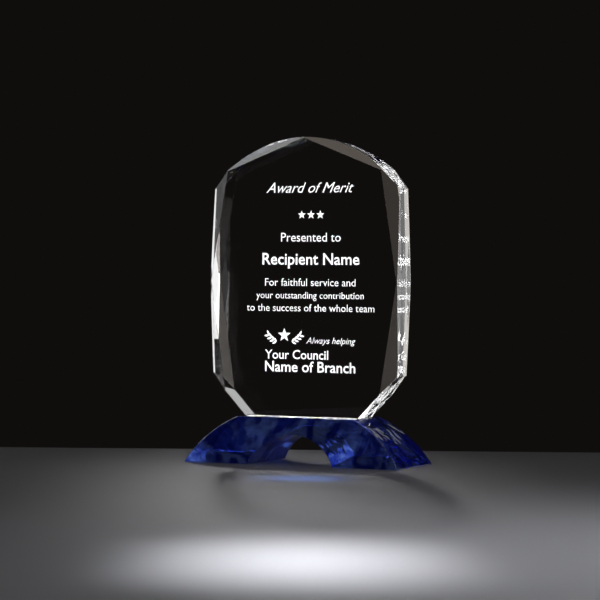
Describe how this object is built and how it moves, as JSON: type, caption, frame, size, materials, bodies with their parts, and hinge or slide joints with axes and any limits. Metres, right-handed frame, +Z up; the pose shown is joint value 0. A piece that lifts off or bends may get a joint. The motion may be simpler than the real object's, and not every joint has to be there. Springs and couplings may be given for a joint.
{
  "type": "crystal award",
  "caption": "Free-standing crystal award: a clear gem-cut plaque with bevelled edges, bonded upright on a cobalt-blue arch-shaped crystal base.",
  "frame": {"origin": "middle of the base's underside, on the surface the award stands on", "axes": "+Z up, X along the width of the plaque and base, the inscription is read from -Y, through the glass of the plaque"},
  "size_m": [0.146, 0.059, 0.2058],
  "materials": {
    "clear_crystal": "clear optical crystal, ground and polished",
    "cobalt_crystal": "cobalt-blue optical crystal, ground and polished",
    "cured_adhesive": "clear cured adhesive film"
  },
  "bodies": {
    "root": {"blue_arch_base": "cobalt_crystal", "adhesive_film": "cured_adhesive", "crystal_plaque": "clear_crystal"}
  },
  "joints": []
}
